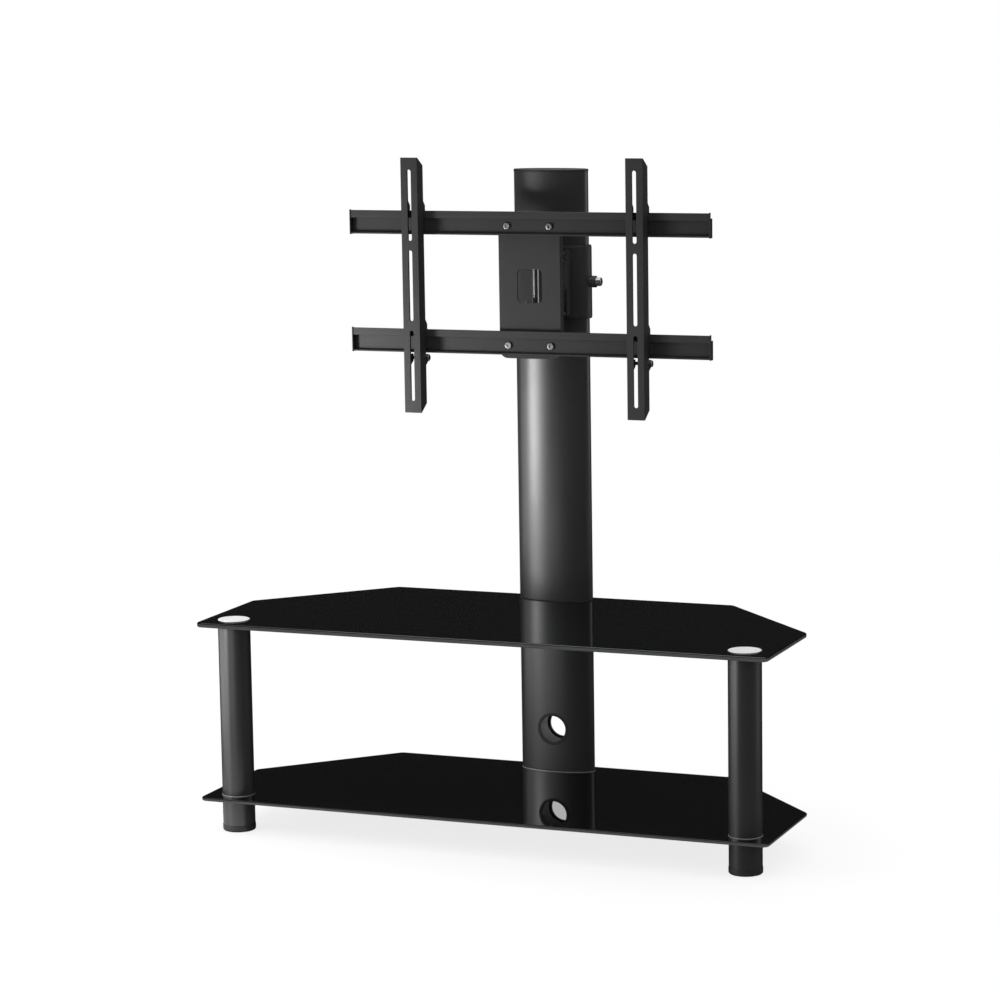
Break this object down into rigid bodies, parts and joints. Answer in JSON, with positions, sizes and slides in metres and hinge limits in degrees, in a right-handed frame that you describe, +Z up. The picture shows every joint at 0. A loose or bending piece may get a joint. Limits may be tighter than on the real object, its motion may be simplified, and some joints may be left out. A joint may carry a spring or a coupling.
{
  "type": "tv stand with mount",
  "caption": "Black glass media stand with chamfered shelves on round legs and an oval column that carries a sliding, swivelling screen mount.",
  "frame": {"origin": "on the floor, under the middle of the glass shelves", "axes": "+Z up, -Y towards the viewer's side of the screen, +X to the right seen from the front"},
  "size_m": [1, 0.42, 1.125],
  "materials": {
    "black_glass": "polished opaque black tempered glass",
    "gloss_black_steel": "gloss black powder coat",
    "satin_black_steel": "satin black powder coat",
    "mount_black_steel": "fine matt black powder coat",
    "brushed_silver": "brushed and clear anodised",
    "zinc_steel": "bright zinc plate",
    "black_rubber": "matt",
    "black_plastic": "fine grained",
    "pale_nylon": "plain"
  },
  "bodies": {
    "stand": {"lower_glass_shelf": "black_glass", "upper_glass_shelf": "black_glass", "left_foot_pad": "black_plastic", "left_foot_tube": "gloss_black_steel", "left_foot_gasket": "black_rubber", "left_leg_ring": "gloss_black_steel", "left_leg_tube": "gloss_black_steel", "left_leg_gasket": "black_rubber", "left_cap_gasket": "black_rubber", "left_leg_cap": "brushed_silver", "left_leg_rod": "zinc_steel", "left_leg_nut": "zinc_steel", "right_foot_pad": "black_plastic", "right_foot_tube": "gloss_black_steel", "right_foot_gasket": "black_rubber", "right_leg_ring": "gloss_black_steel", "right_leg_tube": "gloss_black_steel", "right_leg_gasket": "black_rubber", "right_cap_gasket": "black_rubber", "right_leg_cap": "brushed_silver", "right_leg_rod": "zinc_steel", "right_leg_nut": "zinc_steel", "column_foot_pad": "black_plastic", "column_foot": "satin_black_steel", "column_foot_gasket": "black_rubber", "column_base_ring": "gloss_black_steel", "lower_column": "satin_black_steel", "lower_column_gasket": "black_rubber", "upper_column_gasket": "black_rubber", "upper_column": "satin_black_steel", "column_top_cap": "black_plastic", "left_column_bolt": "zinc_steel", "right_column_bolt": "zinc_steel", "left_column_nut": "zinc_steel", "right_column_nut": "zinc_steel"},
    "carriage": {"height_sleeve": "mount_black_steel", "upper_sleeve_liner": "black_plastic", "lower_sleeve_liner": "black_plastic", "left_clamp_bolt": "zinc_steel", "right_clamp_bolt": "zinc_steel", "swivel_base": "mount_black_steel", "swivel_pin": "zinc_steel", "swivel_nut": "zinc_steel", "upper_swivel_washer": "pale_nylon", "lower_swivel_washer": "pale_nylon"},
    "head": {"swivel_head": "mount_black_steel", "upper_rail": "mount_black_steel", "lower_rail": "mount_black_steel", "upper_rail_left_cap": "black_plastic", "upper_rail_right_cap": "black_plastic", "lower_rail_left_cap": "black_plastic", "lower_rail_right_cap": "black_plastic"},
    "left_arm": {"left_screen_arm": "mount_black_steel", "left_arm_lock_bolt": "zinc_steel"},
    "right_arm": {"right_screen_arm": "mount_black_steel", "right_arm_lock_bolt": "zinc_steel"}
  },
  "joints": [
    {"name": "mount_height", "type": "slide", "parent": "stand", "child": "carriage", "axis": [0, 0, 1], "range_m": [-0.16, 0.12]},
    {"name": "mount_swivel", "type": "hinge", "parent": "carriage", "child": "head", "pos_m": [0, 0.1, 0.91], "axis": [0, 0, 1], "range_deg": [-35, 35]},
    {"name": "left_arm_spread", "type": "slide", "parent": "head", "child": "left_arm", "axis": [1, 0, 0], "range_m": [-0.1, 0.1]},
    {"name": "right_arm_spread", "type": "slide", "parent": "head", "child": "right_arm", "axis": [1, 0, 0], "range_m": [-0.1, 0.1]}
  ]
}
